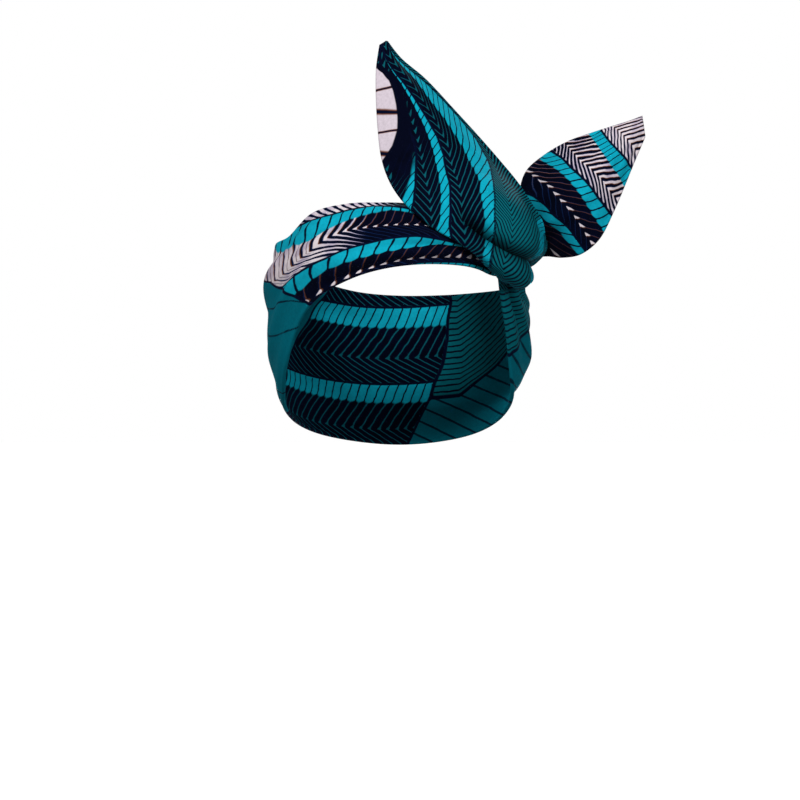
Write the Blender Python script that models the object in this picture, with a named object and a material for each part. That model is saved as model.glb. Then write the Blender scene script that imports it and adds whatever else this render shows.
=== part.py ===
# Tied cloth headband: one long strip of print cotton with a wired hem, wrapped round the head and
# crossed over the left temple, so that its two pointed ends stand up as a tall tail and a short one.
# +Z is up and -Y is the wearer's front, so +X is the wearer's left. The origin is the middle of the
# head where the band grips it. Tables are in millimetres and degrees; Blender's units are metres.

import math
from collections import namedtuple

import bmesh
import bpy
from mathutils import Vector

MM = 0.001

# The head that the band is worn on
HEAD_HALF_WIDTH = 78.0
HEAD_HALF_LENGTH = 95.0

# The cloth
STRIP_WALL = 2.2  # two layers of cotton with a turned hem

# Mesh density
BAND_STATIONS = 84
BAND_ACROSS = 19
TALL_STATIONS = 38
TALL_ACROSS = 18
SHORT_STATIONS = 24
SHORT_ACROSS = 14
TURN_STATIONS = 14
TURN_AROUND = 28

# Each row is one section across the band, from its lower edge to its upper edge. A turn is the angle
# round the head from the middle of the brow, towards the wearer's left, and a reach is the distance
# from the head's axis as a share of the head's oval. bow is how far the cloth stands out between its
# edges, and pleat is the depth of its gathers. The rows run from the knot over the brow, round the
# right side, the nape and the left side, and back up to the knot.
BandRow = namedtuple(
    "BandRow", "low_turn low_reach low_z high_turn high_reach high_z bow pleat"
)
BAND_ROWS = (
    BandRow(50, 0.985, 22, 50, 0.965, 49, 2, 1.1),
    BandRow(38, 0.995, 27, 40, 0.94, 55, 4, 1.5),
    BandRow(24, 1.00, 29, 24, 0.87, 61, 8, 1.6),
    BandRow(8, 1.00, 28.5, 7, 0.76, 66, 12, 1.5),
    BandRow(-8, 1.00, 25, -12, 0.70, 67, 14, 1.2),
    BandRow(-22, 1.00, 19, -30, 0.76, 66.5, 13, 1.0),
    BandRow(-36, 1.00, 10, -47, 0.86, 61, 11, 0.7),
    BandRow(-48, 0.99, -4, -64, 0.91, 51, 10, 0.6),
    BandRow(-62, 0.95, -30, -82, 0.915, 41, 9.5, 0.6),
    BandRow(-78, 0.90, -49, -100, 0.93, 35, 9.5, 0.7),
    BandRow(-102, 0.86, -62, -122, 0.93, 29, 9, 0.9),
    BandRow(-130, 0.83, -72, -142, 0.94, 24, 8, 1.2),
    BandRow(-158, 0.81, -78, -162, 0.95, 19, 8, 1.6),
    BandRow(-182, 0.80, -80, -182, 0.955, 17, 8, 1.8),
    BandRow(-206, 0.81, -78, -204, 0.95, 17, 8, 1.5),
    BandRow(-232, 0.83, -72, -226, 0.95, 18, 8, 1.0),
    BandRow(-258, 0.86, -61, -248, 0.96, 19, 9, 0.9),
    BandRow(-280, 0.90, -46, -263, 0.98, 19, 8.5, 1.4),
    BandRow(-292, 0.95, -27, -273, 1.00, 17, 7, 2.0),
    BandRow(-302, 0.99, -5, -281, 1.01, 15, 5, 2.2),
    BandRow(-307, 1.01, 7, -286, 1.015, 15, 3.5, 2.0),
    BandRow(-310, 1.02, 16.5, -289, 1.02, 18, 2, 1.7),
)
BAND_PLEATS = 3

# Each row is one section across a tail, given by its two edges. bow is how far the cloth stands out
# of the line between them, and pleat is the depth of its gathers.
TailRow = namedtuple("TailRow", "ax ay az bx by bz bow pleat")
TALL_ROWS = (
    TailRow(61, -62.6, 19.4, 75.3, -31.5, 21.2, 2, 1.6),
    TailRow(61, -64, 22, 77.5, -32.5, 23.5, 4, 1.8),
    TailRow(58.5, -72, 26.5, 80.5, -38, 29, 9, 1.6),
    TailRow(52, -84, 31, 85, -44, 33, 15, 1.2),
    TailRow(44.5, -91, 36.5, 90, -48, 40, 18, 1.0),
    TailRow(36, -94, 42, 89, -50, 48, 20, 0.9),
    TailRow(26, -94.5, 49, 87, -51, 56, 21, 0.8),
    TailRow(16, -89.5, 58, 81, -50, 66, 20, 0.7),
    TailRow(7, -80, 68, 72, -48, 79, 18, 0.6),
    TailRow(0, -74, 80, 61, -48, 91, 16, 0.6),
    TailRow(-6, -72, 94, 49, -48, 105, 14, 0.5),
    TailRow(-10, -70, 111, 33, -49, 123, 11, 0.4),
    TailRow(-12, -68, 129, 17, -51, 141, 8, 0.2),
    TailRow(-12, -65, 147, 3, -54, 154, 4, 0.1),
    TailRow(-10, -61, 162, -6, -58, 165, 1, 0.0),
)
SHORT_ROWS = (
    TailRow(77.8, -40.4, 55.3, 84.3, -40.4, 35.3, 1, 0.9),
    TailRow(76, -34, 71, 92, -42, 36, 5, 1.4),
    TailRow(80, -29, 86, 101, -46, 35, 10, 1.1),
    TailRow(90, -30, 98, 112, -51, 37, 15, 0.9),
    TailRow(104, -33, 106, 124, -52, 46, 16, 0.7),
    TailRow(118, -36, 111, 132, -49, 62, 13, 0.5),
    TailRow(131, -39, 115, 139, -46, 79, 9, 0.3),
    TailRow(142, -42, 117, 145, -45, 97, 5, 0.1),
    TailRow(149, -44, 119, 150.5, -44, 112, 1, 0.0),
)
TAIL_PLEATS = 3

# The soft fold that runs down across the tall tail's root, from over the brow to the left temple,
# seen from the front: a valley along this line, and a roll of cloth below it.
FOLD_START = (24, 61)
FOLD_END = (84, 29)
FOLD_DEPTH = 8.0
FOLD_WIDTH = 5.5
ROLL_HEIGHT = 4.0
ROLL_BELOW = 8.0

# Each row is one section of the bunched stretch that turns through the knot behind the tall tail.
# tilt twists its ribs about the line that it follows.
TurnRow = namedtuple("TurnRow", "x y z half_wide half_thick tilt")
TURN_ROWS = (
    TurnRow(60.1, -60.2, 35.5, 13, 3.2, 0),
    TurnRow(64, -55.2, 35.7, 13, 6.0, 25),
    TurnRow(70, -49, 39, 12, 7.5, 60),
    TurnRow(75.5, -44, 43, 11, 6.5, 95),
    TurnRow(80, -41.3, 45, 10, 4.0, 120),
)
TURN_RIBS = 5
TURN_RIB_DEPTH = 1.1

TEAL_PRINT = (0.0, 0.2, 0.23, 1.0)
PRINT_ROUGHNESS = 0.75


def clear_scene():
    for thing in list(bpy.data.objects):
        bpy.data.objects.remove(thing)


def print_cotton(name):
    material = bpy.data.materials.new(name)
    material.use_nodes = True
    shader = material.node_tree.nodes["Principled BSDF"]
    shader.inputs["Base Color"].default_value = TEAL_PRINT
    shader.inputs["Roughness"].default_value = PRINT_ROUGHNESS
    return material


def row_at(rows, place):
    """A section at any place from 0 to 1 along a table, on a smooth curve through its rows."""
    spot = place * (len(rows) - 1)
    first = min(int(spot), len(rows) - 2)
    u = spot - first
    near = [rows[min(max(first + k, 0), len(rows) - 1)] for k in (-1, 0, 1, 2)]
    values = [
        0.5 * (2 * b + (c - a) * u + (2 * a - 5 * b + 4 * c - d) * u**2 + (3 * (b - c) + d - a) * u**3)
        for a, b, c, d in zip(*near)
    ]
    return type(rows[0])(*values)


def gather(across, pleats, depth):
    """Height of the gathers at a place across the strip, with none at its edges."""
    return depth * math.sin(2 * math.pi * pleats * across) * math.sin(math.pi * across) ** 0.5


def band_point(place, across):
    row = row_at(BAND_ROWS, place)
    turn = math.radians(row.low_turn + (row.high_turn - row.low_turn) * across)
    reach = row.low_reach + (row.high_reach - row.low_reach) * across
    stand = 4 * across * (1 - across) * row.bow + gather(across, BAND_PLEATS, row.pleat)
    out = Vector((math.sin(turn), -math.cos(turn), 0))
    z = row.low_z + (row.high_z - row.low_z) * across
    oval = Vector((HEAD_HALF_WIDTH * out.x, HEAD_HALF_LENGTH * out.y, z / max(reach, 0.1)))
    return oval * reach + out * stand


def tail_frame(rows, place):
    """Both edges of a tail's section, and the direction that its cloth stands out in."""
    step = 0.02
    here = row_at(rows, place)
    back = row_at(rows, max(place - step, 0))
    ahead = row_at(rows, min(place + step, 1))

    def edges(row):
        return Vector((row.ax, row.ay, row.az)), Vector((row.bx, row.by, row.bz))

    a, b = edges(here)
    along = sum(edges(ahead), Vector()) - sum(edges(back), Vector())
    out = (b - a).cross(along).normalized()
    return here, a, b, out


def tail_point(rows, place, across):
    row, a, b, out = tail_frame(rows, place)
    stand = row.bow * math.sin(math.pi * across) + gather(across, TAIL_PLEATS, row.pleat)
    return a.lerp(b, across) + out * stand, out


def fold_stand(point):
    """How far the fold across the tall tail's root moves the cloth in or out."""
    start = Vector(FOLD_START)
    line = Vector(FOLD_END) - start
    spot = Vector((point.x, point.z)) - start
    along = spot.dot(line) / line.length_squared
    above = spot.cross(line) / line.length * -1
    fade = math.sin(math.pi * min(max(along, 0), 1)) ** 0.6
    valley = FOLD_DEPTH * math.exp(-((above / FOLD_WIDTH) ** 2))
    roll = ROLL_HEIGHT * math.exp(-(((above + ROLL_BELOW) / ROLL_BELOW) ** 2))
    return fade * (roll - valley)


def tall_point(place, across):
    point, out = tail_point(TALL_ROWS, place, across)
    return point + out * fold_stand(point) * math.sin(math.pi * across)


def short_point(place, across):
    return tail_point(SHORT_ROWS, place, across)[0]


def add_object(name, mesh, material):
    thing = bpy.data.objects.new(name, mesh)
    bpy.context.scene.collection.objects.link(thing)
    mesh.materials.append(material)
    return thing


def cloth_strip(name, point_at, stations, across, wall, material):
    """A sheet of cloth through a grid of points, thickened evenly to both sides."""
    mesh = bpy.data.meshes.new(name)
    bm = bmesh.new()
    grid = [
        [
            bm.verts.new(point_at(i / (stations - 1), j / (across - 1)) * MM)
            for j in range(across)
        ]
        for i in range(stations)
    ]
    for i in range(stations - 1):
        for j in range(across - 1):
            bm.faces.new(
                (grid[i][j], grid[i][j + 1], grid[i + 1][j + 1], grid[i + 1][j])
            )
    bmesh.ops.recalc_face_normals(bm, faces=bm.faces)
    bm.to_mesh(mesh)
    bm.free()
    mesh.shade_smooth()
    thing = add_object(name, mesh, material)
    solidify = thing.modifiers.new("wall", "SOLIDIFY")
    solidify.thickness = wall * MM
    solidify.offset = 0
    return thing


def turn_ring(place):
    """The ribbed outline of the bunched cloth at a place along the turn."""
    step = 0.02
    row = row_at(TURN_ROWS, place)
    back = row_at(TURN_ROWS, max(place - step, 0))
    ahead = row_at(TURN_ROWS, min(place + step, 1))
    centre = Vector((row.x, row.y, row.z))
    along = (Vector((ahead.x, ahead.y, ahead.z)) - Vector((back.x, back.y, back.z))).normalized()
    out = Vector((centre.x, centre.y, 0)).normalized()
    wide = along.cross(out).normalized()
    thick = wide.cross(along)
    points = []
    for k in range(TURN_AROUND):
        angle = 2 * math.pi * k / TURN_AROUND
        rib = TURN_RIB_DEPTH * math.cos(TURN_RIBS * (angle - math.radians(row.tilt) / 2))
        points.append(
            centre
            + wide * (row.half_wide + rib) * math.cos(angle)
            + thick * (row.half_thick + rib) * math.sin(angle)
        )
    return points


def knot_turn(name, material):
    mesh = bpy.data.meshes.new(name)
    bm = bmesh.new()
    rings = [
        [bm.verts.new(p * MM) for p in turn_ring(i / (TURN_STATIONS - 1))]
        for i in range(TURN_STATIONS)
    ]
    for first, second in zip(rings, rings[1:]):
        for k in range(TURN_AROUND):
            n = (k + 1) % TURN_AROUND
            bm.faces.new((first[k], first[n], second[n], second[k]))
    bm.faces.new(rings[0])
    bm.faces.new(rings[-1])
    bmesh.ops.recalc_face_normals(bm, faces=bm.faces)
    bm.to_mesh(mesh)
    bm.free()
    mesh.shade_smooth()
    return add_object(name, mesh, material)


def main():
    clear_scene()
    cotton = print_cotton("print_cotton")
    cloth_strip("head_band", band_point, BAND_STATIONS, BAND_ACROSS, STRIP_WALL, cotton)
    cloth_strip("tall_tail", tall_point, TALL_STATIONS, TALL_ACROSS, STRIP_WALL, cotton)
    cloth_strip("short_tail", short_point, SHORT_STATIONS, SHORT_ACROSS, STRIP_WALL, cotton)
    knot_turn("knot_turn", cotton)


main()
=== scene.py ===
import math
from collections import namedtuple

import bpy
import numpy as np
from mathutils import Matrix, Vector, noise


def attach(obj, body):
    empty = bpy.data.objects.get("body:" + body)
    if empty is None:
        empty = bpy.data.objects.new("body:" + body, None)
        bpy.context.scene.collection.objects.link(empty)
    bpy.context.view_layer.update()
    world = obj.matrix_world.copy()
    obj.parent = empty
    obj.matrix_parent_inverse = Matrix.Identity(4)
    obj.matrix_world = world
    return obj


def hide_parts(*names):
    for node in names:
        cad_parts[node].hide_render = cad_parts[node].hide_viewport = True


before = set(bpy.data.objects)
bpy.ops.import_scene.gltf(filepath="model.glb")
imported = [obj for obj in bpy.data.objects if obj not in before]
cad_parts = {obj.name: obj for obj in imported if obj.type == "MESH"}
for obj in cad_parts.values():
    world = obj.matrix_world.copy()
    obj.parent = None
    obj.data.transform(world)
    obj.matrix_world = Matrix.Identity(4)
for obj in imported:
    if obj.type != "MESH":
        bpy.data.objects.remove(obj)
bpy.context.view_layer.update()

# A head wrap made of one long strip of print cotton. +Z is up, -Y the wearer's front, +X the
# wearer's left. Tables are in millimetres and degrees, and millimetre turns them to metres.

millimetre = 0.001

# How the cloth is made: two layers with a turned hem, sampled along and across the strip.
cloth = {
    "width": 100.0,        # across the flat strip
    "wall": 1.3,           # two layers
    "hemWall": 2.4,        # the turned hem is thicker
    "hemWidth": 3.4,
    "cellsAcross": 84,
    "edgeCrowding": 0.82,  # how much closer together the grid's lines lie at the edges
    "edgeCells": 4.2,      # how many cells in from an edge they spread out again
    "alongStep": 1.6,      # the grid's spacing along the band
    "shortStep": 0.8,      # the short tail's spacing, as a part of the band's
    "tallStep": 0.55,      # and the tall tail's
    "weld": 0.0005,        # points closer than this become one
    "smoothAngle": 62.0,
}


def smooth(x, low, high):
    u = np.clip((x - low) / (high - low), 0, 1)
    return u * u * (3 - 2 * u)


def sectionAt(rows, place):
    # Catmull-Rom through the rows of a table, for an array of places from 0 to 1
    table = np.array(rows, float)
    spot = np.clip(place, 0, 1) * (len(table) - 1)
    first = np.minimum(spot.astype(int), len(table) - 2)
    u = (spot - first)[:, None]
    a, b, c, d = (table[np.clip(first + k, 0, len(table) - 1)] for k in (-1, 0, 1, 2))
    values = 0.5 * (2 * b + (c - a) * u + (2 * a - 5 * b + 4 * c - d) * u**2 + (3 * (b - c) + d - a) * u**3)
    return type(rows[0])(*values.T)


def length(v):
    return np.linalg.norm(v, axis=-1, keepdims=True)


# The stretch round the head, from the knot over the brow, round the right side, the nape and the
# left side, and back up to the knot: its low and high edge, and how far it bows out between them.
bandRow = namedtuple("bandRow", "lowTurn lowReach lowZ highTurn highReach highZ bow")
headBand = {
    "halfWidth": 78.0,
    "halfLength": 95.0,
    "rows": [
        bandRow(50, 0.985, 22, 50, 0.965, 49, 2),
        bandRow(38, 0.995, 27, 40, 0.94, 55, 4),
        bandRow(24, 1.00, 29, 24, 0.87, 60.5, 8),
        bandRow(8, 1.00, 28.5, 7, 0.76, 65.2, 12),
        bandRow(-8, 1.00, 25, -12, 0.70, 66, 13.5),
        bandRow(-22, 1.00, 19, -30, 0.76, 65.5, 12.5),
        bandRow(-36, 1.00, 10, -47, 0.855, 61.2, 9.5),
        bandRow(-48, 0.99, -4, -64, 0.905, 48.0, 8),
        bandRow(-62, 0.955, -30, -82, 0.94, 44.2, 7.5),
        bandRow(-78, 0.89, -49, -100, 0.868, 35, 11.5),
        bandRow(-102, 0.847, -62, -122, 0.882, 29, 11),
        bandRow(-130, 0.83, -72, -142, 0.94, 24, 8),
        bandRow(-158, 0.81, -78, -162, 0.95, 19, 8),
        bandRow(-182, 0.80, -80, -182, 0.955, 17, 8),
        bandRow(-206, 0.81, -78, -204, 0.95, 17, 8),
        bandRow(-232, 0.83, -72, -226, 0.95, 18, 8),
        bandRow(-258, 0.875, -61, -248, 0.96, 19, 9),
        bandRow(-280, 0.93, -47, -263, 0.98, 19, 8),
        bandRow(-292, 0.95, -27, -273, 1.00, 17, 7),
        bandRow(-302, 0.99, -5, -281, 1.01, 15, 5),
        bandRow(-307, 1.01, 7, -286, 1.015, 15, 3.5),
        bandRow(-310, 1.02, 16.5, -289, 1.02, 18, 2),
    ],
}


def bandShape(place, across):
    row = sectionAt(headBand["rows"], place)
    row = bandRow(*(v[:, None] for v in row))
    turn = np.radians(row.lowTurn + (row.highTurn - row.lowTurn) * across)
    reach = row.lowReach + (row.highReach - row.lowReach) * across
    stand = 4 * across * (1 - across) * row.bow
    outX, outY = np.sin(turn), -np.cos(turn)
    x = headBand["halfWidth"] * outX * reach + outX * stand
    y = headBand["halfLength"] * outY * reach + outY * stand
    z = row.lowZ + (row.highZ - row.lowZ) * across
    return np.stack([x, y, z], axis=-1)


# A tail's sections, each given by its two edges and how far the cloth bows out between them.
tailRow = namedtuple("tailRow", "ax ay az bx by bz bow")
tallTail = {
    "rows": [
        tailRow(61, -63, 19.4, 75.7, -31.5, 20.6, 2.5),
        tailRow(60.6, -65, 22.5, 77.5, -33, 24, 4),
        tailRow(58.5, -72, 26.5, 80.5, -38, 29, 9),
        tailRow(52, -84, 31, 85, -44, 33, 15),
        tailRow(44.5, -91, 36.5, 90, -48, 40, 18),
        tailRow(36, -94, 42, 89, -50, 48, 20),
        tailRow(23, -94, 49, 87.5, -51, 56, 21),
        tailRow(12.2, -88.5, 58, 82, -50, 66, 20),
        tailRow(2.8, -79.5, 68, 74, -48, 79, 18),
        tailRow(-4.5, -74, 80, 64, -48, 91.5, 16),
        tailRow(-9, -72, 94, 51.4, -48, 106, 14),
        tailRow(-11, -70, 111, 34.8, -49, 124, 11),
        tailRow(-12, -68, 129, 18.2, -51, 141.5, 8),
        tailRow(-12, -65, 147, 3, -54, 154, 4),
        tailRow(-10, -61, 162, -6, -58, 165, 1),
    ],
    # the crease across its root, as seen from the front: a valley, and a roll of cloth below it
    "creaseFrom": 30.0,    # its x at the left, and its x and z at the right
    "creaseEnd": (85.0, 29.0),
    "creaseSlope": 0.15,   # how it rises to the left, steeper and steeper
    "creaseCurve": 0.0093,
    "creaseDepth": 12.0,
    "creaseWidth": 5.5,
    "creaseLap": 2.4,      # how far the cloth above laps over the roll
    "creaseLift": 2.6,
    "creaseShade": 6.0,    # how far its painted shade reaches
    "shadeRise": 1.0,      # how far above the crease its painted shade is darkest
    "creaseTuck": 1.5,     # how tightly it is folded under
    "creaseFade": 0.35,    # the share of its length over which it fades to the left
    "creaseStart": (2, 8),     # how far past the pinch it starts and is whole
    "creaseEdge": 0.14,    # the share of the width over which it fades at the edges
    "rollHeight": 5.0,
    "rollBelow": 8.0,      # how far below the crease the roll is highest
}

# The other strand, from the brow's end behind the tall tail and out to the short tail's tip. Edge a
# is the lower one.
shortTail = {
    "rows": [
        tailRow(59.3, -60.9, 22.3, 59.6, -60.9, 48.8, -2),
        tailRow(64.5, -55, 24, 64, -55, 48.5, -1),
        tailRow(71.5, -48.5, 28, 69, -49, 50.5, 0),
        tailRow(78, -44, 32.5, 73.5, -44.5, 53.5, 1),
        tailRow(84.3, -40.4, 35.3, 77.8, -40.4, 55.3, 1.5),
        tailRow(92, -42, 36, 75, -34, 73, 5),
        tailRow(101, -46, 35, 79, -29, 88, 10),
        tailRow(112, -51, 37, 90, -30, 98, 15),
        tailRow(122.6, -52, 46, 104, -33, 106, 16),
        tailRow(131, -49, 62.5, 118, -36, 111, 13),
        tailRow(138.4, -46, 80, 131, -39, 115, 9),
        tailRow(145.6, -45, 97, 142.4, -42, 118.3, 5),
        tailRow(151, -44, 109, 149.2, -44, 121.2, 1),
    ],
    "turnRows": 4,         # the rows up to here are the bunched turn
}


def tailShape(rows, place, across, facing):
    step = 0.01
    row = sectionAt(rows, place)
    back, ahead = (sectionAt(rows, place + d) for d in (-step, step))
    a = np.stack([row.ax, row.ay, row.az], axis=-1)
    b = np.stack([row.bx, row.by, row.bz], axis=-1)
    along = sum(
        np.stack([s.ax + s.bx, s.ay + s.by, s.az + s.bz], axis=-1) * sign
        for s, sign in ((back, -1), (ahead, 1))
    )
    out = np.cross(b - a, along) * facing
    out /= length(out)
    stand = row.bow[:, None] * np.sin(math.pi * across)
    mix = np.broadcast_to(across, (len(place), across.shape[-1]))[..., None]
    return a[:, None] * (1 - mix) + b[:, None] * mix + out[:, None] * stand[..., None]


def evenPlaces(shape, step):
    # places spaced evenly along the middle of a stretch
    fine = np.linspace(0, 1, 801)
    middle = shape(fine, np.array([[0.5]]))[:, 0]
    travelled = np.concatenate([[0], np.cumsum(length(np.diff(middle, axis=0))[:, 0])])
    cells = int(round(travelled[-1] / step))
    return np.interp(np.linspace(0, travelled[-1], cells + 1), travelled, fine)


def acrossPlaces():
    # close together at the rounded edges and evenly spaced between them
    u = np.linspace(0, 1, cloth["cellsAcross"] + 1)
    edge = np.minimum(u, 1 - u) * cloth["cellsAcross"]     # cells from the nearer edge
    crowd = 1 - cloth["edgeCrowding"] * np.exp(-(edge / cloth["edgeCells"]) ** 2)
    t = np.concatenate([[0], np.cumsum((crowd[1:] + crowd[:-1]) / 2)])
    return t / t[-1]


def wholeStrip():
    # one grid of points along the whole strip, from the short tail's tip to the tall tail's
    across = acrossPlaces()[None, :]

    def short(place, t):
        return tailShape(shortTail["rows"], place, t, -1)

    def tall(place, t):
        return tailShape(tallTail["rows"], place, t, 1)

    shortPlaces = evenPlaces(short, cloth["alongStep"] * cloth["shortStep"])[::-1]
    bandPlaces = evenPlaces(bandShape, cloth["alongStep"])
    tallPlaces = evenPlaces(tall, cloth["alongStep"] * cloth["tallStep"])
    rootPlace = shortTail["turnRows"] / (len(shortTail["rows"]) - 1)
    turnCut = int(np.argmin(np.abs(shortPlaces - rootPlace)))
    browCut = len(shortPlaces) - 1
    pinchCut = browCut + len(bandPlaces) - 1
    joined = np.concatenate([
        short(shortPlaces, across)[:-1], bandShape(bandPlaces, across), tall(tallPlaces, across),
    ])
    return joined, across[0], [0, turnCut, browCut, pinchCut, len(joined) - 1]


def surfaceNormals(grid):
    # unit normals of a grid of points, facing away from the head, kept steady where a tip closes
    along = np.gradient(grid, axis=0)
    sideways = np.gradient(grid, axis=1)
    n = np.cross(sideways, along)
    return n / np.maximum(length(n), 1e-9)


def distanceAlong(grid):
    # mm along the middle line of the strip, from the short tail's tip
    middle = grid[:, grid.shape[1] // 2]
    return np.concatenate([[0], np.cumsum(length(np.diff(middle, axis=0))[:, 0])])


def easeJoin(grid, join, reach, rounds):
    # rounds off the strip along its length where two stretches meet
    along = distanceAlong(grid)
    weight = np.exp(-((along - along[join]) / reach) ** 2)[1:-1, None, None]
    for _ in range(rounds):
        grid[1:-1] += weight * 0.5 * ((grid[:-2] + grid[2:]) / 2 - grid[1:-1])


# Folds that run along the strip and spread from where it is gathered. Each has a number of folds
# across the strip, a height, how far along the strip it reaches or 0 for all of it, a slant in folds
# for each 100 mm, and a phase in turns.
fold = namedtuple("fold", "count height reach slant phase")
gathers = {
    "pinch": [
        fold(2.6, 1.7, 34, 0.6, 0.10),
        fold(4.3, 1.1, 22, -0.8, 0.45),
        fold(7.0, 0.6, 14, 0.5, 0.80),
    ],
    "turn": [
        fold(2.8, 3.0, 16, 0.3, 0.30),
        fold(4.2, 1.1, 28, -0.6, 0.60),
    ],
    "loose": [             # long soft folds of the stretch round the head
        fold(1.6, 1.1, 0, 0.25, 0.15),
        fold(2.7, 0.9, 0, -0.35, 0.55),
        fold(4.4, 0.5, 0, 0.5, 0.35),
    ],
    "looseFrom": (20, 70),     # how far past the brow's end they start and are whole
    "looseTo": (70, 15),   # and how far before the pinch they are still whole and end
    "crumple": 1.2,        # height of the fine crumple, and its size along the strip and across it
    "crumpleAlong": 60.0,
    "crumpleAcross": 16.0,
    "crumpleEnds": (25, 30),   # how far from the short and the tall tip it fades
    "edgeHold": 0.35,      # the part of the folds' height that the wired edges keep
    "edgeRise": 6.0,       # and how fast it grows inwards, for each whole width
}


def foldHeight(folds, along, across):
    # along is the distance from the gathered place, 0 all through it
    total = 0
    for f in folds:
        fade = np.exp(-np.sqrt((along / f.reach) ** 2 + 0.01) + 0.1) if f.reach else 1
        wave = np.sin(2 * math.pi * (f.count * across + f.slant * along / 100 + f.phase))
        total = total + f.height * fade * wave
    return total


def crumple(along, across):
    # soft random wrinkles, longer along the strip than across it
    heights = [
        noise.noise(Vector((s / gathers["crumpleAlong"], t / gathers["crumpleAcross"], 0)))
        for s, row in zip(along, across * cloth["width"]) for t in row
    ]
    return np.array(heights).reshape(across.shape)


def creaseMove(grid, out, weight):
    # the tall tail folds over a roll of its own cloth along a line in the front view, and shade is painted
    # along that crease
    c = tallTail
    endX, endZ = c["creaseEnd"]
    left = np.maximum(endX - grid[..., 0], 0)
    lineZ = endZ + c["creaseSlope"] * left + c["creaseCurve"] * left**2
    slope = c["creaseSlope"] + 2 * c["creaseCurve"] * left
    above = (grid[..., 2] - lineZ) / np.sqrt(1 + slope**2)
    along = 1 - left / (endX - c["creaseFrom"])
    fade = smooth(along, 0, c["creaseFade"]) * weight
    near = np.exp(-((above / c["creaseWidth"]) ** 2))
    side = np.tanh(above / c["creaseTuck"]) * near
    below = c["rollBelow"]
    roll = c["rollHeight"] * np.exp(-(((above + below) / below) ** 2))
    lift = roll - c["creaseDepth"] * near + c["creaseLift"] * side
    up = np.stack([slope, 0 * slope, np.ones_like(slope)], axis=-1)
    up = up - out * (out * up).sum(axis=-1, keepdims=True)
    up = up / length(up)
    move = (out * lift[..., None] - up * (c["creaseLap"] * side)[..., None]) * fade[..., None]
    # painted shade along the crease, darkest a little above it
    shade = np.exp(-(((above - c["shadeRise"]) / c["creaseShade"]) ** 2))
    return move, shade * fade


def foldedStrip():
    grid, across, cuts = wholeStrip()
    easeJoin(grid, cuts[2], reach=7, rounds=30)
    easeJoin(grid, cuts[3], reach=9, rounds=40)
    along = distanceAlong(grid)
    s = along[:, None]
    t = np.broadcast_to(across[None, :], grid.shape[:2])
    turnStart, browStart, pinch = (along[c] for c in cuts[1:4])

    pastTurn = np.where(s < turnStart, s - turnStart, np.where(s > browStart, s - browStart, 0))
    height = foldHeight(gathers["pinch"], s - pinch, t) + foldHeight(gathers["turn"], pastTurn, t)
    loosen, looser = (browStart + d for d in gathers["looseFrom"])
    tighten, tight = (pinch - d for d in gathers["looseTo"])
    onHead = smooth(s, loosen, looser) * (1 - smooth(s, tighten, tight))
    height += onHead * foldHeight(gathers["loose"], s, t)
    shortEnd, tallEnd = gathers["crumpleEnds"]
    tips = smooth(s, 0, shortEnd) * (1 - smooth(s, along[-1] - tallEnd, along[-1]))
    height += gathers["crumple"] * tips * crumple(along, t)
    fromEdge = np.minimum(t, 1 - t)
    edgeHold = np.minimum(1, gathers["edgeHold"] + gathers["edgeRise"] * fromEdge)
    out = surfaceNormals(grid)
    starts, whole = (pinch + d for d in tallTail["creaseStart"])
    inTall = smooth(s, starts, whole) * smooth(fromEdge, 0, tallTail["creaseEdge"])
    move, shade = creaseMove(grid, out, inTall)
    grid = grid + out * (height * edgeHold)[..., None] + move
    return grid, along, t, cuts, shade


points, stripAlong, stripAcross, cuts, creaseShade = foldedStrip()
print("strip", points.shape, cuts, "length", round(float(stripAlong[-1])), "mm")


def edgeDistance(grid, along):
    # how far each point is from the strip's nearest free edge, and from its low one
    gaps = length(np.diff(grid, axis=1))[..., 0]
    fromLow = np.concatenate([np.zeros((len(grid), 1)), np.cumsum(gaps, axis=1)], axis=1)
    wide = fromLow[:, -1:]
    fromEnds = np.minimum(along, along[-1] - along)[:, None]
    return np.minimum(np.minimum(fromLow, wide - fromLow), fromEnds), fromLow


def wallHalf(edge):
    # half the cloth's thickness: thin between the hems, full in them, rounded at the very edge
    body = cloth["wall"] + (cloth["hemWall"] - cloth["wall"]) * (
        1 - smooth(edge, cloth["hemWidth"] * 0.5, cloth["hemWidth"])
    )
    radius = cloth["hemWall"] / 2
    inward = np.clip(1 - edge / radius, 0, 1)
    return body / 2 * np.sqrt(np.maximum(1 - inward**2, 0))


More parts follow.
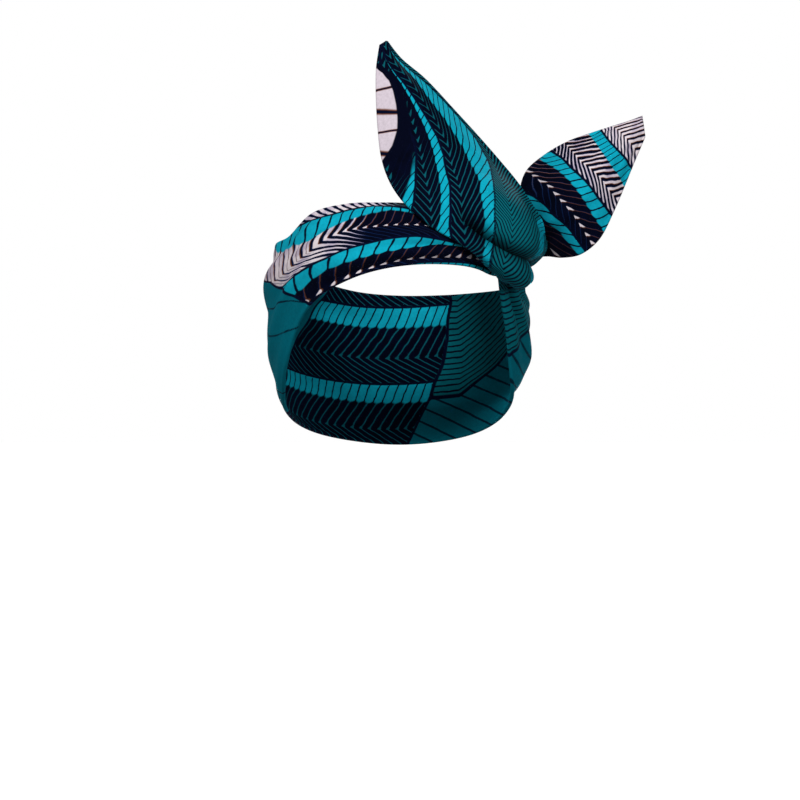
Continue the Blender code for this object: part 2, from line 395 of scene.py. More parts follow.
def addPiece(name, first, last):
    # a stretch of the strip as a closed sheet: a grid rolled into a flat tube and shut at both ends
    columns = points.shape[1]
    around = np.concatenate([np.arange(columns), np.arange(columns - 2, -1, -1)])
    side = np.concatenate([np.ones(columns), -np.ones(columns - 1)])
    picked = np.concatenate([[first], np.arange(first, last + 1), [last]])
    half = wall[picked].copy()
    half[[0, -1]] = 0
    shape = points[picked][:, around]
    shape = shape + normals[picked][:, around] * (half[:, around] * side)[..., None]
    bpy.ops.object.select_all(action="DESELECT")
    bpy.ops.mesh.primitive_grid_add(
        x_subdivisions=len(around) - 1, y_subdivisions=len(picked) - 1, size=2, location=(0, 0, 0)
    )
    piece = bpy.context.object
    piece.name = piece.data.name = name
    mesh = piece.data
    flat = np.empty(len(mesh.vertices) * 3)
    mesh.vertices.foreach_get("co", flat)
    flat = flat.reshape(-1, 3)
    column = np.rint((flat[:, 0] + 1) / 2 * (len(around) - 1)).astype(int)
    row = np.rint((flat[:, 1] + 1) / 2 * (len(picked) - 1)).astype(int)
    mesh.vertices.foreach_set("co", (shape[row, column] * millimetre).ravel())
    for key, values in printMaps.items():
        found = values[picked][:, around][row, column]
        data = mesh.attributes.new(key, "FLOAT_VECTOR", "POINT")
        data.data.foreach_set("vector", found.astype(np.float32).ravel())
    # painted shade depth, as it is on the outer face and with its sign turned on the inner face
    faceShadeDepths = (paintedShadeDepth[picked][:, around] * side)[row, column]
    data = mesh.attributes.new("paintedShadeDepth", "FLOAT", "POINT")
    data.data.foreach_set("value", faceShadeDepths.astype(np.float32))
    for layer in list(mesh.uv_layers):
        mesh.uv_layers.remove(layer)
    mesh.update()
    bpy.ops.object.mode_set(mode="EDIT")
    bpy.ops.mesh.select_all(action="SELECT")
    bpy.ops.mesh.remove_doubles(threshold=cloth["weld"] * millimetre)
    bpy.ops.mesh.normals_make_consistent(inside=False)
    bpy.ops.mesh.select_all(action="DESELECT")
    bpy.ops.object.mode_set(mode="OBJECT")
    bpy.ops.object.shade_smooth_by_angle(angle=math.radians(cloth["smoothAngle"]))
    print(name, len(mesh.polygons), "faces")
    return piece


# Wax-print cotton: a plain-woven, matt cloth, dyed through a little unevenly, with painted shade in its
# folds and crease and a painted shadow on the short tail's root.
waxPrint = {
    "cyan": "#10BAD4",
    "cyanDeep": "#0A93AC",
    "teal": "#046D7F",
    "tealLine": "#0B5C68",
    "tealBright": "#086C78",
    "navy": "#050A24",
    "black": "#020306",
    "blue": "#122A58",
    "cream": "#E9DDE2",
    "lilac": "#A596B4",
    "brown": "#7A4A32",
    "lineHalf": 0.77,      # mm, half the dark line along each stripe
    "fineHalf": 0.6,       # mm, the same in the brighter teal, and how dark it is there
    "fineStrength": 0.8,
    "cellLine": 0.17,      # share of a cell that is its dark line
    "cellLean": 0.6,       # how much the lines lean inside a stripe, next to outside it
    "lineSoft": 0.08,      # how soft the lines' edges are, in half cells
    "lineWaver": 0.4,      # how unsteady the lines are, in cells
    "edgeShare": 0.2,      # the coloured edge along each light line, in half cells
    "edgeLeast": 0.14,     # the same where there is no light line
    "pointReach": 0.8,     # mm, how far the light marks reach at the chevrons' points
    "scallop": 0.13,       # share of a stripe's width that its cells bulge out of it
    "plainLine": 1.5,      # mm, the dark line round the plain parts
    "veinWidth": 0.75,     # mm, half of it
    "veinWaver": 0.7,      # mm
    "veinStrength": 0.92,
    "patchFrom": 100.0,    # mm along the tall tail, well before the pale patch
    "patchWide": 42.0,     # mm across for the whole width at the patch
    "patchLine": 6.0,      # mm, the dark part round the pale patch
    "barEvery": 14.0,      # mm between the patch's bars
    "barLean": 0.25,       # mm along for a mm across
    "barWave": 1.9,        # mm that their spacing shifts by
    "barWaveTurn": 0.23,   # radians of that for each mm along
    "barHalf": 0.085,      # half a bar's width, as a share of their spacing
    "barCore": 0.05,       # and half of its dark core's
    "foldShade": 3.2,      # mm deep in a fold, where the painted shade is darkest
    "rootShade": 0.8,      # how dark the painted shadow is on the short tail where it comes out from behind the knot
    "rootReach": 36.0,     # mm that the painted shadow reaches along the short tail
    "rootLow": 1.2,        # the painted shadow's strength at its low edge
    "rootEase": 0.5,       # and how much weaker it is at its high edge
    "thread": 0.45,        # mm, drawn a little coarser than real so that it shows
    "threadBump": 0.25,
    "roughness": 0.85,
    "sheen": 0.02,         # how much light the matt surface mirrors
}


# The print: cyan stripes, each along a thin dark line, with chevron lines that run on from the cells
# of the stripe to the next stripe, in the usual way of wax prints. A stripe is given by curves, in
# pairs of a place along a stretch in mm and a value: where its dark line, its other side and its
# chevrons' points lie across the strip, from 0 at the low edge to 1; how far the lines lean before
# and after the points, in mm along for a mm across; how much of each line is light, with none below
# 0; the lines' tone, 0 for cream, 1 for dull teal and 2 for a brighter one; and the lines' spacing in
# mm, at places in mm on the way that they follow one another. A stretch's last stripe has only its
# dark line.
browPrint = [
    {
        "line": [(0, 1.7)], "end": [(0, 1.69)], "points": [(0, 1.16)],
        "near": [(0, 1)], "far": [(0, 1.6)],
        "light": [(60, 0.0), (75, 0.2), (95, 0.52), (150, 0.54)], "spacing": [(0, 6.2)],
        "tone": [(70, 1), (85, 0)],
    },
    {
        "line": [
            (40, 0.83), (60, 0.87), (76, 0.90), (89, 0.92), (103, 0.89), (116, 0.863), (128, 0.865),
            (138, 0.91), (147, 0.971), (158, 1.03), (169, 1.09), (185, 1.15), (215, 1.3), (330, 1.4),
        ],
        "end": [
            (40, 0.80), (60, 0.835), (76, 0.86), (91, 0.835), (102, 0.795), (108, 0.765), (115, 0.73),
            (121, 0.695), (129, 0.645), (135, 0.654), (148, 0.744), (166, 0.855), (182, 0.93),
            (215, 1.1), (330, 1.2),
        ],
        "points": [
            (40, 0.66), (65, 0.655), (79, 0.641), (92, 0.628), (103, 0.616), (116, 0.577), (123, 0.54),
            (131, 0.505), (140, 0.505), (151, 0.522), (158, 0.539), (169, 0.577), (177, 0.603),
            (200, 0.70), (330, 0.9),
        ],
        "near": [(40, 0.75), (80, 0.6), (103, 0.45), (142, 0.25), (170, 0.1)],
        "far": [(40, 1.9), (110, 1.8), (130, 2.3), (150, 2.8)],
        "light": [(50, -0.3), (85, -0.2), (98, 0.1), (110, 0.36), (125, 0.52), (140, 0.68), (165, 0.78)],
        "spacing": [(60, 6.4), (110, 6.2), (130, 8.5), (150, 11), (170, 13)], "tone": [(0, 0)],
    },
    {
        "line": [
            (20, 0.39), (46, 0.42), (62, 0.436), (79, 0.42), (94, 0.385), (107, 0.357), (118, 0.325),
            (132, 0.322), (140, 0.333), (150, 0.365), (164, 0.449), (180, 0.53), (200, 0.62),
            (330, 0.8),
        ],
        "end": [
            (20, 0.37), (49, 0.355), (59, 0.29), (73, 0.256), (87, 0.232), (105, 0.215), (119, 0.212),
            (132, 0.19), (143, 0.19), (155, 0.218), (170, 0.28), (200, 0.40), (330, 0.6),
        ],
        "points": [
            (20, 0.20), (39, 0.153), (49, 0.115), (62, 0.095), (78, 0.076), (94, 0.045), (105, 0.03),
            (122, 0.022), (137, 0.03), (160, 0.08), (200, 0.2),
        ],
        "near": [(40, 0.85), (140, 0.65)], "far": [(0, 1.8)],
        "light": [(0, -0.3), (150, -0.2)], "spacing": [(60, 7.8), (100, 9), (120, 11), (140, 15)],
        "tone": [(0, 0)],
    },
    {
        "line": [(20, 0.07), (60, 0.035), (90, -0.04), (120, -0.14), (180, -0.2), (330, 0.2)],
        "end": [(20, 0.01), (60, -0.02), (120, -0.25), (330, 0.1)], "points": [(0, -0.3)],
        "near": [(0, 1)], "far": [(0, 1)], "light": [(0, 0.1)], "spacing": [(0, 6.0)], "tone": [(0, 1)],
    },
    {"line": [(0, -0.7)]},
]
napePrint = [
    {
        "line": [(-330, 1.30), (-150, 1.38)], "end": [(-330, 1.2), (-150, 1.28)],
        "points": [(-330, 1.0), (-150, 1.08)],
        "near": [(0, 0.7)], "far": [(0, 1.6)], "light": [(0, 0.16)], "spacing": [(0, 6.4)],
        "tone": [(0, 1)],
    },
    {
        "line": [(-330, 0.86), (-150, 0.94)], "end": [(-330, 0.73), (-150, 0.81)],
        "points": [(-330, 0.52), (-150, 0.60)],
        "near": [(0, 0.7)], "far": [(0, 1.6)], "light": [(0, 0.16)], "spacing": [(0, 6.4)],
        "tone": [(0, 1)],
    },
    {
        "line": [(-330, 0.34), (-150, 0.42)], "end": [(-330, 0.22), (-150, 0.30)],
        "points": [(-330, 0.05), (-150, 0.12)],
        "near": [(0, 0.7)], "far": [(0, 1.6)], "light": [(0, 0.16)], "spacing": [(0, 6.4)],
        "tone": [(0, 1)],
    },
    {"line": [(-330, -0.18), (-150, -0.10)]},
]
tallPrint = [
    {
        "line": [
            (0, 0.55), (30, 0.66), (45, 0.77), (51, 0.872), (62, 0.97), (72, 1.03), (110, 1.4),
            (205, 1.6),
        ],
        "end": [
            (0, 0.45), (30, 0.54), (46, 0.641), (53, 0.69), (62, 0.79), (71, 0.86), (80, 0.98),
            (110, 1.3), (205, 1.5),
        ],
        "points": [
            (0, 0.2), (27, 0.205), (33, 0.19), (48, 0.30), (54, 0.333), (61, 0.384), (68, 0.461),
            (84, 0.59), (103, 0.735), (121, 0.9), (205, 1.3),
        ],
        "near": [(0, 0.5), (45, 0.7), (60, 0.8), (90, 1.2)], "far": [(0, 1.2), (60, 1.7)],
        "light": [(0, 0.5), (60, 0.66), (90, 0.52), (120, 0.36)], "spacing": [(30, 2.6), (55, 3.5)],
        "tone": [(0, 2)],
    },
    {
        "line": [
            (0, -0.15), (31, 0.089), (39, 0.115), (44, 0.141), (62, 0.262), (71, 0.34), (85, 0.485),
            (104, 0.66), (113, 0.76), (122, 0.85), (136, 0.925), (148, 0.945), (159, 0.95), (172, 0.92),
            (186, 0.85), (205, 0.75),
        ],
        "end": [
            (0, -0.22), (30, 0.03), (43, 0.075), (50, 0.108), (63, 0.205), (72, 0.285), (78, 0.33),
            (88, 0.405), (100, 0.51), (115, 0.61), (128, 0.685), (138, 0.71), (150, 0.735), (166, 0.73),
            (178, 0.75), (186, 0.74), (205, 0.70),
        ],
        "points": [
            (0, -0.38), (61, 0.04), (76, 0.155), (90, 0.28), (105, 0.375), (130, 0.535), (150, 0.585),
            (170, 0.59), (190, 0.55), (205, 0.45),
        ],
        "near": [(30, 1.2), (90, 1.4), (125, 1.7), (150, 2.4)], "far": [(30, 1.8), (80, 2.5), (130, 1.7)],
        "light": [(30, 0.4), (60, 0.24), (120, 0.16), (160, 0.1)], "spacing": [(0, 6.4)], "tone": [(0, 1)],
    },
    {
        "line": [
            (0, -0.5), (40, -0.18), (68, 0.016), (89, 0.19), (107, 0.335), (126, 0.461), (139, 0.505),
            (154, 0.515), (166, 0.508), (179, 0.474), (189, 0.41), (205, 0.25),
        ],
        "end": [
            (0, -0.58), (40, -0.26), (74, -0.02), (82, 0.07), (91, 0.148), (102, 0.23), (114, 0.325),
            (127, 0.395), (136, 0.423), (149, 0.449), (165, 0.455), (179, 0.43), (189, 0.37),
            (205, 0.22),
        ],
        "points": [
            (0, -0.7), (60, -0.16), (88, 0.06), (99, 0.13), (114, 0.222), (128, 0.29), (140, 0.325),
            (160, 0.36), (180, 0.33), (205, 0.1),
        ],
        "near": [(60, 1.3), (120, 1.6)], "far": [(60, 1.9), (120, 2.1)],
        "light": [(60, 0.2), (120, 0.1), (150, -0.1)], "spacing": [(0, 5.9)], "tone": [(0, 1)],
    },
    {
        "line": [
            (0, -0.95), (60, -0.36), (99, 0.012), (104, 0.064), (112, 0.141), (121, 0.205),
            (129, 0.256), (136, 0.284), (150, 0.295), (205, 0.1),
        ],
        "end": [
            (0, -1.05), (60, -0.44), (100, -0.05), (106, 0.006), (113, 0.098), (118, 0.152),
            (126, 0.21), (135, 0.262), (142, 0.285), (150, 0.295), (205, 0.1),
        ],
        "points": [(0, -1.2), (100, -0.15), (120, 0.02), (205, 0.0)],
        "near": [(0, 1.4)], "far": [(0, 1.5)], "light": [(0, 0.1), (115, 0.06), (135, -0.3)],
        "spacing": [(0, 5.6)], "tone": [(0, 1)],
    },
    {"line": [(0, -1.4), (100, -0.45), (205, -0.4)]},
]
# On the short tail the stripes lie across it: its places go from 0 to 1 across, and its values are in
# mm from its tip. Its lines follow one another across the tail.
shortPrint = [
    {
        "line": [(0, -24)], "end": [(0, -24)],
        "points": [(0, 10), (0.17, 11), (0.4, 13), (0.55, 15), (0.74, 18), (0.95, 23), (1, 26)],
        "near": [(0, 1.35)], "far": [(0, 1.25)], "light": [(0, 0.5)], "spacing": [(0, 5.2)],
        "tone": [(0, 0)],
    },
    {
        "line": [(0, 17.5), (0.307, 20), (0.577, 25), (0.782, 29), (1, 32)],
        "end": [(0, 26), (0.23, 28), (0.41, 31), (0.55, 33), (0.782, 36.5), (1, 40)],
        "points": [
            (0, 33), (0.153, 37), (0.256, 38.5), (0.372, 40.5), (0.449, 42.5), (0.564, 46), (0.68, 50),
            (1, 57),
        ],
        "near": [(0, 1.6), (0.5, 1.4)], "far": [(0, 1.9)], "light": [(0, 0.42), (0.6, 0.36), (1, 0.2)],
        "spacing": [(0, 5.6)], "tone": [(0, 0)],
    },
    {
        "line": [(0, 41.5), (0.205, 45.5), (0.333, 48), (0.474, 51), (0.641, 56), (0.834, 61), (1, 67)],
        "end": [(0, 50.5), (0.179, 53.5), (0.295, 55), (0.423, 57), (0.564, 60), (0.718, 64.5), (1, 75)],
        "points": [
            (0, 62), (0.166, 64), (0.256, 65), (0.346, 66.5), (0.436, 69), (0.654, 74), (0.744, 78),
            (1, 86),
        ],
        "near": [(0, 1.35)], "far": [(0, 1.7)],
        "light": [(0, -0.3), (0.5, -0.26), (0.66, -0.05), (1, 0.0)], "spacing": [(0, 6.4)],
        "tone": [(0, 0)],
    },
    {
        "line": [(0, 68.5), (0.179, 71.5), (0.307, 74.5), (0.474, 80), (0.718, 87), (1, 95)],
        "end": [(0, 74), (0.153, 78), (0.282, 80.5), (0.397, 84), (0.59, 92), (0.82, 99), (1, 104)],
        "points": [(0, 88), (1, 116)],
        "near": [(0, 1.3)], "far": [(0, 1.7)], "light": [(0, -0.5)], "spacing": [(0, 9.0)],
        "tone": [(0, 0)],
    },
    {"line": [(0, 102), (1, 132)]},
]
# Plain teal between the brow's print and the nape's, from one line across the strip to the other, and
# in a leaf shape on the left side, with lines above it that follow its edge. A pair is a place across
# the strip and one along it in mm, past the brow's end or before the pinch. The leaf's top is given
# the other way round.
plainTeal = {
    "fromBrow": [(0, 145), (0.19, 153), (0.41, 165), (0.63, 182), (0.8, 210), (1, 245)],
    "toNape": [(0, 250), (0.5, 276), (1, 304)],
    "sideTop": [(0, 1.05), (33, 0.5), (73, 0.65), (103, 0.53), (150, 0.3)],
    "sideFrom": 33.0,
    "sideTo": [(0, 186), (0.3, 172), (0.7, 160), (1, 155)],
    "sideSpacing": 3.1,    # mm between the lines above the leaf
    "sideLight": 0.7,      # how much of each of them is light
    "browLean": 0.8,       # mm out of the brow's slanting edge for a mm along
    "sideTopScale": 80.0,  # mm across for the whole width at the leaf
    "napeMargin": 4.0,     # how far before the teal ends the nape's print starts, unseen
    "endLine": 0.2,        # mm off the dark line where the leaf's print ends
    # where the veins meet the low edge, past the brow's end, and their lean in mm along for a mm across
    "veins": [105, 142.8, 166, 218, 258, 300],
    "veinLean": 1.25,
    # where the leaf's veins start, in mm from the low edge at sideFrom
    "sideVeins": [-27, -17, -7, 2.6, 14.3, 22.5, 33, 44, 56, 70],
    "sideVeinLean": 2.0,
}
# The pale patch on the tall tail, between its low edge and this line: a pair is a place along the
# tail in mm and one across it.
creamPatch = [
    (122, -0.5), (132, 0.0), (140, 0.105), (150, 0.18), (158, 0.218), (166, 0.245), (175, 0.26),
    (182, 0.248), (188, 0.16), (193, 0.0), (203, -0.5),
]


def curve(pairs, x):
    xs, ys = np.array(pairs, float).T
    return np.interp(x, xs, ys)


def linesUpTo(spacing, run):
    # how many lines there are from 0 to each place, where their spacing changes
    reach, step = 400, 0.5
    places = np.linspace(-reach, reach, int(2 * reach / step) + 1)
    total = np.cumsum(step / curve(spacing, places))
    return np.interp(run, places, total - total[len(places) // 2])


def stripesAt(stripes, along, across, wide, run):
    # what the shader needs of a stretch's stripes at each point. wide turns across into mm, and run is
    # the place in mm on the way that the lines follow one another.
    lines = np.stack([curve(stripe["line"], along) for stripe in stripes])
    rising = np.sign(lines[1] - lines[0])
    passed = ((across - lines[:-1]) * rising >= 0).sum(axis=0)
    zone = np.maximum(passed - 1, 0)

    def pick(values, index):
        return np.take_along_axis(np.stack(values), index[None], axis=0)[0]

    start, unit = pick(lines, zone), pick(lines, zone + 1) - pick(lines, zone)
    found = {
        key: pick([curve(stripe[key], along) for stripe in stripes[:-1]], zone)
        for key in ("end", "points", "near", "far", "light", "tone")
    }
    spacing = pick([curve(stripe["spacing"], run) for stripe in stripes[:-1]], zone)
    cells = np.abs(unit) * wide / spacing
    return {
        "count": zone + (across - start) / unit,
        "unit": np.abs(unit) * wide,
        "run": pick([linesUpTo(stripe["spacing"], run) for stripe in stripes[:-1]], zone),
        "share": (found["end"] - start) / unit,
        "points": (found["points"] - start) / unit,
        "near": found["near"] * cells,
        "far": found["far"] * cells,
        "light": found["light"],
        "tone": found["tone"],
    }


def veinWave(spots, x):
    # a smooth wave that is 0 at each vein and rises there by about 1 for each mm
    spots = np.array(spots, float)
    gaps = np.diff(spots)
    between = np.clip(np.searchsorted(spots, x) - 1, 0, len(gaps) - 1)
    return np.sin(math.pi * (x - spots[between]) / gaps[between]) * gaps[between] / math.pi


def layPrint():
    s = np.broadcast_to(stripAlong[:, None], stripAcross.shape)
    t = stripAcross
    wide = np.broadcast_to(fromLow[:, -1:], t.shape)
    turnStart, browStart, pinch = (stripAlong[c] for c in cuts[1:4])
    fromBrow, fromPinch = s - browStart, s - pinch
    toNape = curve(plainTeal["toNape"], t)
    inNape = fromBrow >= toNape - plainTeal["napeMargin"]
    # where each stretch is, its stripes, the places along and across it, the mm that a whole width
    # is, and the way and sense in which its lines follow one another
    stretches = [
        (s < turnStart, shortPrint, t, s, 1.0, fromLow, -1),
        ((s >= turnStart) & ~inNape, browPrint, fromBrow, t, wide, fromBrow, -1),
        (inNape & (s < pinch), napePrint, fromPinch, t, wide, fromPinch, 1),
        (s >= pinch, tallPrint, fromPinch, t, wide, fromPinch, 1),
    ]
    laid = {}
    for inside, stripes, along, across, width, run, sense in stretches:
        found = stripesAt(stripes, along, across, width, run)
        found["run"] = found["run"] * sense
        for key, values in found.items():
            laid[key] = np.where(inside, values, laid.get(key, 0.0))

    browSide = (fromBrow - curve(plainTeal["fromBrow"], t)) * plainTeal["browLean"]
    plainRight = np.minimum(browSide, toNape - fromBrow)
    belowPinch = -fromPinch
    sideTo = curve(plainTeal["sideTo"], t)
    plainLeft = np.minimum.reduce([
        belowPinch - plainTeal["sideFrom"],
        (curve(plainTeal["sideTop"], belowPinch) - t) * plainTeal["sideTopScale"],
        sideTo - belowPinch,
    ])
    onSide = (belowPinch > 0) & (belowPinch < sideTo)
    sideLines = {
        "count": 0.5, "share": 0.0, "points": 0.5, "near": 0.0, "far": 0.0, "tone": 2.0,
        "light": plainTeal["sideLight"], "run": -plainLeft / plainTeal["sideSpacing"],
    }
    for key, values in sideLines.items():
        laid[key] = np.where(onSide, values, laid[key])
    sideEnd = -plainTeal["endLine"] - np.abs(belowPinch - sideTo)
    plain = np.maximum.reduce([plainRight, plainLeft, sideEnd])
    sideVeins = fromLow - (belowPinch - plainTeal["sideFrom"]) / plainTeal["sideVeinLean"]
    veins = np.where(
        belowPinch < sideTo + 5,
        veinWave(plainTeal["sideVeins"], sideVeins),
        veinWave(plainTeal["veins"], fromBrow - plainTeal["veinLean"] * fromLow),
    )
    patchEdge = curve(creamPatch, fromPinch) - t
    patch = np.where(fromPinch > waxPrint["patchFrom"], patchEdge * waxPrint["patchWide"], -50)
    return {
        "printPlace": np.stack([laid["run"], laid["count"], laid["share"]], axis=-1),
        "printLines": np.stack([laid["points"], laid["near"], laid["far"]], axis=-1),
        "printTone": np.stack([laid["light"], laid["tone"], laid["unit"]], axis=-1),
        "printArea": np.stack([patch, plain, veins], axis=-1),
        "clothPlace": np.stack([s, fromLow, np.zeros_like(s)], axis=-1),
    }


def foldDepths(grid, out):
    # how deep each point lies in a fold of the outer face, in mm: below its neighbours' average; the
    # material paints shade from it
    level, rounds = grid.copy(), 40
    for _ in range(rounds):
        level[1:-1] += 0.5 * ((level[:-2] + level[2:]) / 2 - level[1:-1])
        level[:, 1:-1] += 0.5 * ((level[:, :-2] + level[:, 2:]) / 2 - level[:, 1:-1])
    return ((level - grid) * out).sum(axis=-1)


def hexColour(code):
    # an sRGB hex value as linear colour
    parts = [int(code[k:k + 2], 16) / 255 for k in (1, 3, 5)]
    return tuple(((c + 0.055) / 1.055) ** 2.4 if c > 0.04045 else c / 12.92 for c in parts) + (1.0,)


def addNode(tree, kind, settings=None, inputs=None):
    # a shader node with its settings, and its inputs linked or set
    node = tree.nodes.new(kind)
    for key, value in (settings or {}).items():
        setattr(node, key, value)
    for key, value in (inputs or {}).items():
        if isinstance(value, bpy.types.NodeSocket):
            tree.links.new(value, node.inputs[key])
        else:
            node.inputs[key].default_value = value
    return node


def printMaterial():
    material = bpy.data.materials.new("waxPrintCotton")
    material.use_nodes = True
    tree = material.node_tree
    tree.nodes.clear()
    w = waxPrint

    def calc(operation, a, b=0.0):
        return addNode(tree, "ShaderNodeMath", {"operation": operation}, {0: a, 1: b}).outputs[0]

    def plus(a, b):
        return calc("ADD", a, b)

    def minus(a, b):
        return calc("SUBTRACT", a, b)

    def times(a, b):
        return calc("MULTIPLY", a, b)

    def rescale(value, low, high, toLow, toHigh, kind="LINEAR"):
        return addNode(tree, "ShaderNodeMapRange", {"interpolation_type": kind}, {
            "Value": value, "From Min": low, "From Max": high, "To Min": toLow, "To Max": toHigh,
        }).outputs[0]

    def fadeOut(value, at, soft):
        # 1 below a limit and 0 above it
        return rescale(value, minus(at, soft), plus(at, soft), 1.0, 0.0, "SMOOTHSTEP")

    def mix(share, a, b, blend="MIX"):
        colours = [hexColour(c) if isinstance(c, str) else c for c in (a, b)]
        return addNode(tree, "ShaderNodeMix", {"data_type": "RGBA", "blend_type": blend}, {
            0: share, 6: colours[0], 7: colours[1],
        }).outputs[2]

    def readMap(name):
        vector = addNode(tree, "ShaderNodeAttribute", {"attribute_name": name}).outputs["Vector"]
        return addNode(tree, "ShaderNodeSeparateXYZ", inputs={0: vector}).outputs

    run, count, share = readMap("printPlace")
    points, near, far = readMap("printLines")
    light, tone, unit = readMap("printTone")
    patch, plain, veins = readMap("printArea")
    # the painted shade's depth in mm, from the folds, the crease and the short tail's root
    shadeDepthRead = addNode(tree, "ShaderNodeAttribute", {"attribute_name": "paintedShadeDepth"}).outputs["Fac"]
    clothAt = addNode(tree, "ShaderNodeAttribute", {"attribute_name": "clothPlace"}).outputs["Vector"]
    clothX, clothY, _ = addNode(tree, "ShaderNodeSeparateXYZ", inputs={0: clothAt}).outputs

    def blotches(scale, detail):
        # soft noise over the flat cloth, with scale in blotches for each mm
        return addNode(tree, "ShaderNodeTexNoise", inputs={
            "Vector": clothAt, "Scale": scale, "Detail": detail,
        }).outputs["Fac"]

    waver = blotches(0.12, 3.0)
    wobble = minus(waver, 0.5)
    patchy = rescale(blotches(0.07, 1.0), 0.38, 0.62, 0.0, 1.0)

    # the lines: straight from a stripe's dark line to the points and back, on to the next stripe
    part = calc("FRACT", count)
    before = calc("MAXIMUM", minus(points, part), 0.0)
    after = calc("MAXIMUM", minus(part, points), 0.0)
    within = calc("MAXIMUM", minus(share, part), 0.0)
    before = minus(before, times(within, 1 - w["cellLean"]))
    arm = plus(times(before, near), times(after, far))
    place = plus(minus(run, arm), times(wobble, w["lineWaver"]))
    phase = minus(calc("FRACT", place), 0.5)
    fromLine = times(calc("ABSOLUTE", phase), 2.0)

    # longer light marks at the points, a little more on the stripe's side
    fromPoint = times(plus(times(before, 0.4), times(after, 1.4)), unit)
    atPoint = fadeOut(fromPoint, w["pointReach"], w["pointReach"])
    lightShare = calc("MAXIMUM", light, minus(times(atPoint, 0.75), 0.36))
    isLight = fadeOut(fromLine, lightShare, w["lineSoft"])
    edgeTo = calc("MAXIMUM", plus(lightShare, w["edgeShare"]), w["edgeLeast"])
    isEdge = times(fadeOut(fromLine, edgeTo, w["lineSoft"]), rescale(light, -0.3, 0.0, 0.5, 1.0))
    paleTone = mix(times(patchy, minus(0.65, atPoint)), w["cream"], w["lilac"])
    tealTone = mix(minus(tone, 1.0), w["tealLine"], w["tealBright"])
    lightTone = mix(tone, paleTone, tealTone)

    # the lines' edges: brown on one side up to the points, blue on the other and past them
    warmSide = times(fadeOut(times(phase, -1.0), 0.0, 0.02), fadeOut(minus(part, points), 0.03, 0.03))
    warmTone = mix(warmSide, w["blue"], w["brown"])
    edgeTone = mix(tone, warmTone, w["navy"])
    ground = mix(waver, w["black"], w["navy"])
    chevrons = mix(isLight, mix(isEdge, ground, edgeTone), lightTone)
    # a fine line along the middle of the widest pale lines
    midLine = times(fadeOut(fromLine, 0.07, 0.06), fadeOut(times(light, -1.0), -0.57, 0.04))
    chevrons = mix(times(midLine, fadeOut(tone, 0.5, 0.1)), chevrons, warmTone)

    bulge = times(minus(0.6, times(fromLine, fromLine)), times(share, w["scallop"]))
    hasStripe = fadeOut(times(share, -1.0), -0.045, 0.015)
    inStripe = times(fadeOut(part, plus(share, bulge), 0.015), hasStripe)
    cellTone = mix(waver, w["cyan"], w["cyanDeep"])
    stripes = mix(fadeOut(fromLine, 1 - w["cellLine"], 0.06), w["navy"], cellTone)
    colour = mix(inStripe, chevrons, stripes)
    lineAway = times(calc("MINIMUM", part, minus(1.0, part)), unit)
    wideLine = times(fadeOut(lineAway, w["lineHalf"], 0.3), fadeOut(tone, 1.6, 0.3))
    fineLine = times(fadeOut(lineAway, w["fineHalf"], 0.3), w["fineStrength"])
    colour = mix(calc("MAXIMUM", wideLine, fineLine), colour, w["navy"])

    vein = calc("ABSOLUTE", plus(veins, times(wobble, w["veinWaver"])))
    veinDark = times(fadeOut(vein, w["veinWidth"], 0.3), w["veinStrength"])
    plainTone = mix(veinDark, w["teal"], w["navy"])
    colour = mix(fadeOut(plain, -w["plainLine"], 0.4), w["navy"], colour)
    colour = mix(fadeOut(plain, 0.6, 0.3), plainTone, colour)

    barPlace = plus(clothX, times(calc("SINE", times(clothX, w["barWaveTurn"])), w["barWave"]))
    bar = calc("FRACT", calc("DIVIDE", plus(barPlace, times(clothY, w["barLean"])), w["barEvery"]))
    fromBar = calc("ABSOLUTE", minus(bar, 0.5))
    patchTone = mix(fadeOut(fromBar, w["barHalf"], 0.03), mix(0.3, w["cream"], w["lilac"]), w["brown"])
    patchTone = mix(fadeOut(fromBar, w["barCore"], 0.02), patchTone, w["navy"])
    colour = mix(fadeOut(patch, -w["patchLine"], 1.2), mix(0.5, w["navy"], w["black"]), colour)
    colour = mix(fadeOut(patch, 0.0, 0.3), patchTone, colour)

    # uneven dye, and painted shade in the folds and the crease and a painted shadow on the short tail's
    # root
    dye = rescale(blotches(0.6, 4.0), 0.3, 0.7, 0.88, 1.06)
    colour = mix(1.0, colour, dye, "MULTIPLY")
    # painted shade: darker toward black the deeper the fold, the crease and the root's shadow
    paintedShadeMix = rescale(shadeDepthRead, 0.1, w["foldShade"], 0.0, 0.85, "SMOOTHSTEP")
    colour = mix(paintedShadeMix, colour, w["black"])

    turns = math.pi / w["thread"]
    weave = times(calc("SINE", times(clothX, turns)), calc("SINE", times(clothY, turns)))
    bump = addNode(tree, "ShaderNodeBump", inputs={
        "Strength": w["threadBump"], "Distance": 0.0001, "Height": weave,
    })
    cotton = addNode(tree, "ShaderNodeBsdfPrincipled", inputs={
        "Base Color": colour, "Roughness": w["roughness"], "Specular IOR Level": w["sheen"],
        "Normal": bump.outputs["Normal"],
    })
    addNode(tree, "ShaderNodeOutputMaterial", inputs={"Surface": cotton.outputs[0]})
    return material


def rootShades():
    # how dark the painted shadow lies on the short tail where it comes out from behind the knot, from 0 to
    # about 1
    beforeTurn = (stripAlong[cuts[1]] - stripAlong)[:, None]
    shade = waxPrint["rootShade"] * np.exp(-((beforeTurn / waxPrint["rootReach"]) ** 2))
    return np.where(beforeTurn > 0, shade * (waxPrint["rootLow"] - waxPrint["rootEase"] * stripAcross), 0)


normals = surfaceNormals(points)
edge, fromLow = edgeDistance(points, stripAlong)
wall = wallHalf(edge)
# painted shade in the crease and painted shadow on the short tail's root, joined with the painted shade in
# the folds
shades = np.maximum(creaseShade, rootShades())
paintedShadeDepth = np.maximum(foldDepths(points, normals), shades * waxPrint["foldShade"])
printMaps = layPrint()
printCotton = printMaterial()
print("print laid")

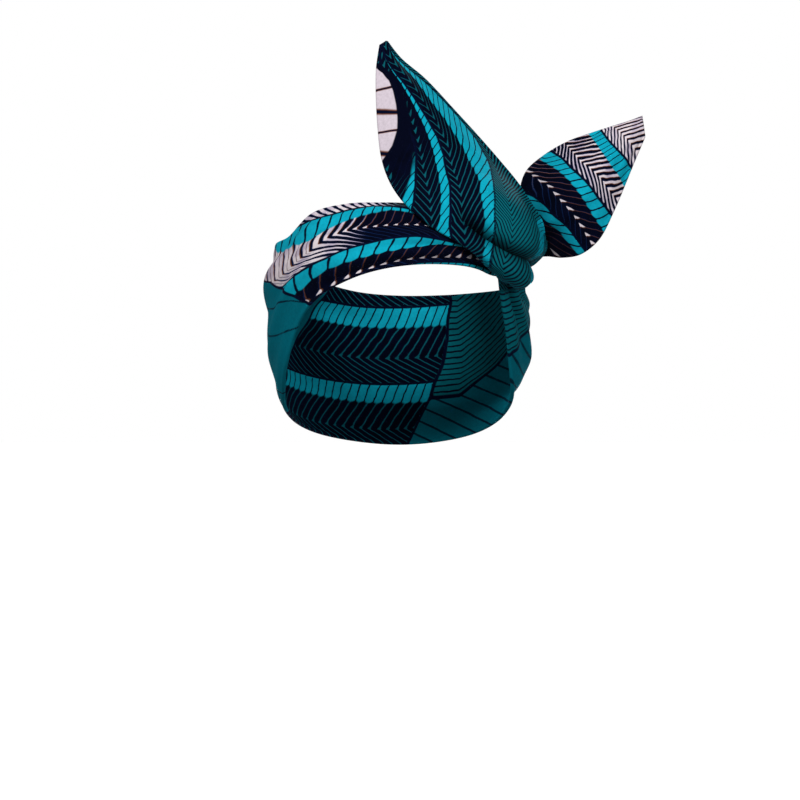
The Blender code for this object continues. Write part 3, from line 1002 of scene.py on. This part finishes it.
# Each node's piece of cloth, in the strip's order: its flat width in metres, the share of its flat
# width by length that the tapered cloth fills, and how it is held. Its length is its stretch's, along
# the strip's middle line.
pieces = {
    "short_tail": {"width": 0.085, "share": 0.68, "held": "stretched"},
    "knot_turn": {"width": 0.06, "share": 1.0, "held": "gathered"},
    "head_band": {"width": 0.1, "share": 0.85, "held": "draped"},
    "tall_tail": {"width": 0.1, "share": 0.72, "held": "stretched"},
}
for index, (node, piece) in enumerate(pieces.items()):
    first, last = cuts[index:index + 2]
    made = addPiece(node + "_cloth", first, last)
    made.data.materials.append(printCotton)
    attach(made, "root")
    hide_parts(node)


studio = {
    "camera": (0.0024, -1.8, -0.051),
    "lens": 130.5,
    "sensor": 36.0,
    "farthest": 50.0,
    "floorZ": -0.30,
    "floorSize": 30.0,
    "pale": "#FFFFFF",
    "paper": "#F4F4F2",
    "paperRoughness": 0.9,
    "worldStrength": 1.0,
    "roomLight": 0.16,     # what the pale room adds to the cloth's light
    # place, aim, size in metres and power in watts
    "lights": {
        "key": ((-0.55, -1.7, 1.2), (0, 0, 0), 0.45, 34),
        "fill": ((1.3, -1.6, 0.3), (0, 0, 0), 0.8, 10),
        "back": ((0.6, 1.6, 1.3), (0, 0, 0), 0.6, 38),
    },
    "topLight": 4.0,       # an even light from above, on the floor alone
    "topLightSpread": 0.9,
    "topLightTilt": 0.45,
}


def addStudio():
    bpy.ops.object.select_all(action="DESELECT")
    bpy.ops.object.camera_add(location=studio["camera"], rotation=(math.pi / 2, 0, 0))
    camera = bpy.context.object
    camera.data.lens = studio["lens"]
    camera.data.sensor_width = studio["sensor"]
    camera.data.clip_end = studio["farthest"]
    bpy.context.scene.camera = camera
    bpy.ops.mesh.primitive_plane_add(size=studio["floorSize"], location=(0, 0, studio["floorZ"]))
    floor = bpy.context.object
    floor.name = "floor"
    # a plain, matt, off-white backdrop paper
    matt = bpy.data.materials.new("palePaper")
    matt.use_nodes = True
    surface = matt.node_tree.nodes["Principled BSDF"]
    surface.inputs["Base Color"].default_value = hexColour(studio["paper"])
    surface.inputs["Roughness"].default_value = studio["paperRoughness"]
    floor.data.materials.append(matt)
    floor.visible_diffuse = False     # it doesn't brighten the cloth from below
    floorOnly = bpy.data.collections.new("floorOnly")
    floorOnly.objects.link(floor)
    for name, (place, aim, size, power) in studio["lights"].items():
        turn = (Vector(aim) - Vector(place)).to_track_quat("-Z", "Y").to_euler()
        bpy.ops.object.light_add(type="AREA", location=place, rotation=turn)
        lamp = bpy.context.object
        lamp.name = name
        lamp.data.size = size
        lamp.data.energy = power
    bpy.ops.object.light_add(type="SUN", location=(0, 0, 2), rotation=(studio["topLightTilt"], 0, 0))
    sun = bpy.context.object
    sun.name = "top"
    sun.data.energy = studio["topLight"]
    sun.data.angle = studio["topLightSpread"]
    sun.light_linking.receiver_collection = floorOnly
    world = bpy.data.worlds.new("paleRoom")
    world.use_nodes = True
    tree = world.node_tree
    pale = tree.nodes["Background"]
    pale.inputs["Color"].default_value = hexColour(studio["pale"])
    seen = addNode(tree, "ShaderNodeLightPath").outputs["Is Camera Ray"]
    strength = addNode(tree, "ShaderNodeMapRange", inputs={
        "Value": seen, "To Min": studio["roomLight"], "To Max": studio["worldStrength"],
    }).outputs[0]
    tree.links.new(strength, pale.inputs["Strength"])
    bpy.context.scene.world = world
    bpy.context.scene.view_settings.view_transform = "Standard"


addStudio()
print("studio ready")
